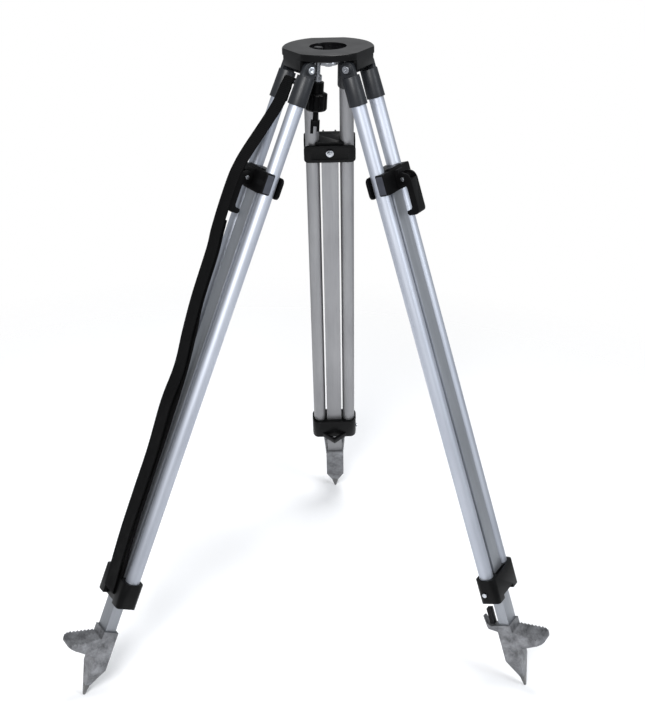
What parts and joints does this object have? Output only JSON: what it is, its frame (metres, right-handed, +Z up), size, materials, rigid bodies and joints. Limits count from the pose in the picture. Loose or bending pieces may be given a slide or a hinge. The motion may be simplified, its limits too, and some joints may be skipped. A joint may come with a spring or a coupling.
{
  "type": "surveyor tripod",
  "caption": "Open surveying tripod with a flat round head, hanging fixing screw, folding telescopic legs with cam clamps and pedal feet.",
  "frame": {"origin": "centre of the bounding box's bottom face, on the ground that the three tips stand on", "axes": "+Z up from the ground, +Y towards the back leg, +X to the right seen from the front; the head leans about 4 degrees"},
  "size_m": [0.9048, 0.8542, 1.1624],
  "materials": {
    "head": "cast and painted satin black",
    "zinc": "bright zinc plate",
    "sleeve": "painted dark grey, satin",
    "tube": "satin anodised",
    "bar": "satin anodised",
    "plastic": "moulded black, fine texture",
    "clamp_tab": "moulded dark grey",
    "casting": "raw sand casting",
    "steel": "ground point",
    "rubber": "matt black",
    "webbing": "woven black nylon"
  },
  "bodies": {
    "head": {"head_plate": "head", "arm_pivot": "zinc"},
    "arm": {"swing_arm": "zinc"},
    "washer": {"slot_washer": "zinc"},
    "hook": {"plumb_hook": "plastic"},
    "screw": {"fixing_screw": "zinc", "screw_knob": "plastic"},
    "back_upper": {"back_sleeve_a": "sleeve", "back_sleeve_b": "sleeve", "back_tube_a": "tube", "back_tube_b": "tube", "back_hinge_bolt": "zinc", "back_bracket": "plastic", "back_bracket_screw": "zinc"},
    "back_lower": {"back_bar": "bar", "back_clamp_core": "plastic", "back_clamp_plate": "plastic", "back_clamp_yoke": "clamp_tab", "back_clamp_bolt": "zinc", "back_shoe": "casting", "back_tip": "steel"},
    "back_lever": {"back_cam_lever": "plastic", "back_lever_pin": "zinc"},
    "left_upper": {"left_sleeve_a": "sleeve", "left_sleeve_b": "sleeve", "left_tube_a": "tube", "left_tube_b": "tube", "left_hinge_bolt": "zinc", "left_bracket": "plastic", "left_bracket_screw": "zinc", "strap": "webbing", "strap_bar": "zinc"},
    "left_lower": {"left_bar": "bar", "left_clamp_core": "plastic", "left_clamp_plate": "plastic", "left_clamp_yoke": "clamp_tab", "left_clamp_bolt": "zinc", "left_shoe": "casting", "left_tip": "steel"},
    "left_lever": {"left_cam_lever": "plastic", "left_lever_pin": "zinc"},
    "right_upper": {"right_sleeve_a": "sleeve", "right_sleeve_b": "sleeve", "right_tube_a": "tube", "right_tube_b": "tube", "right_hinge_bolt": "zinc", "right_bracket": "plastic", "right_bracket_screw": "zinc"},
    "right_lower": {"right_bar": "bar", "right_clamp_core": "plastic", "right_clamp_plate": "plastic", "right_clamp_yoke": "clamp_tab", "right_clamp_bolt": "zinc", "right_shoe": "casting", "right_tip": "steel", "hook_buffer": "rubber"},
    "right_lever": {"right_cam_lever": "plastic", "right_lever_pin": "zinc"}
  },
  "joints": [
    {"name": "arm_swing", "type": "hinge", "parent": "head", "child": "arm", "pos_m": [-0.01254, -0.16045, 1.14349], "axis": [-0.0668, 0.0233, 0.9975], "range_deg": [-33, 1.5]},
    {"name": "screw_slide", "type": "slide", "parent": "arm", "child": "washer", "axis": [-0.2712, 0.9617, -0.0406], "range_m": [-0.013, 0.008]},
    {"name": "screw_lift", "type": "slide", "parent": "washer", "child": "hook", "axis": [0, 0, 1], "range_m": [0, 0.02]},
    {"name": "screw_turn", "type": "hinge", "parent": "hook", "child": "screw", "pos_m": [-0.02966, -0.1004, 1.14405], "axis": [0, 0, 1], "continuous": true},
    {"name": "back_fold", "type": "hinge", "parent": "head", "child": "back_upper", "pos_m": [-0.01161, -0.04177, 1.12825], "axis": [-0.9978, -0.0008, -0.0668], "range_deg": [-17.5, 22.5]},
    {"name": "back_extend", "type": "slide", "parent": "back_upper", "child": "back_lower", "axis": [0.062, 0.3611, -0.9305], "range_m": [0, 0.7]},
    {"name": "back_lever_turn", "type": "hinge", "parent": "back_lower", "child": "back_lever", "pos_m": [0.00018, 0.06406, 0.95086], "axis": [0.9978, 0.0008, 0.0668], "range_deg": [0, 95]},
    {"name": "left_fold", "type": "hinge", "parent": "head", "child": "left_upper", "pos_m": [-0.06093, -0.12729, 1.12695], "axis": [0.4982, -0.8654, 0.0536], "range_deg": [-15.9, 24.1]},
    {"name": "left_extend", "type": "slide", "parent": "left_upper", "child": "left_lower", "axis": [-0.292, -0.2257, -0.9294], "range_m": [0, 0.7], "deforming": ["strap"]},
    {"name": "left_lever_turn", "type": "hinge", "parent": "left_lower", "child": "left_lever", "pos_m": [-0.14867, -0.18875, 0.94994], "axis": [-0.4982, 0.8654, -0.0536], "range_deg": [0, 95]},
    {"name": "right_fold", "type": "hinge", "parent": "head", "child": "right_upper", "pos_m": [0.03758, -0.12721, 1.13354], "axis": [0.4996, 0.8662, 0.0132], "range_deg": [-23.2, 16.8]},
    {"name": "right_extend", "type": "slide", "parent": "right_upper", "child": "right_lower", "axis": [0.3136, -0.1666, -0.9348], "range_m": [0, 0.7]},
    {"name": "right_lever_turn", "type": "hinge", "parent": "right_lower", "child": "right_lever", "pos_m": [0.12941, -0.17745, 0.95508], "axis": [-0.4996, -0.8662, -0.0132], "range_deg": [0, 95]}
  ]
}
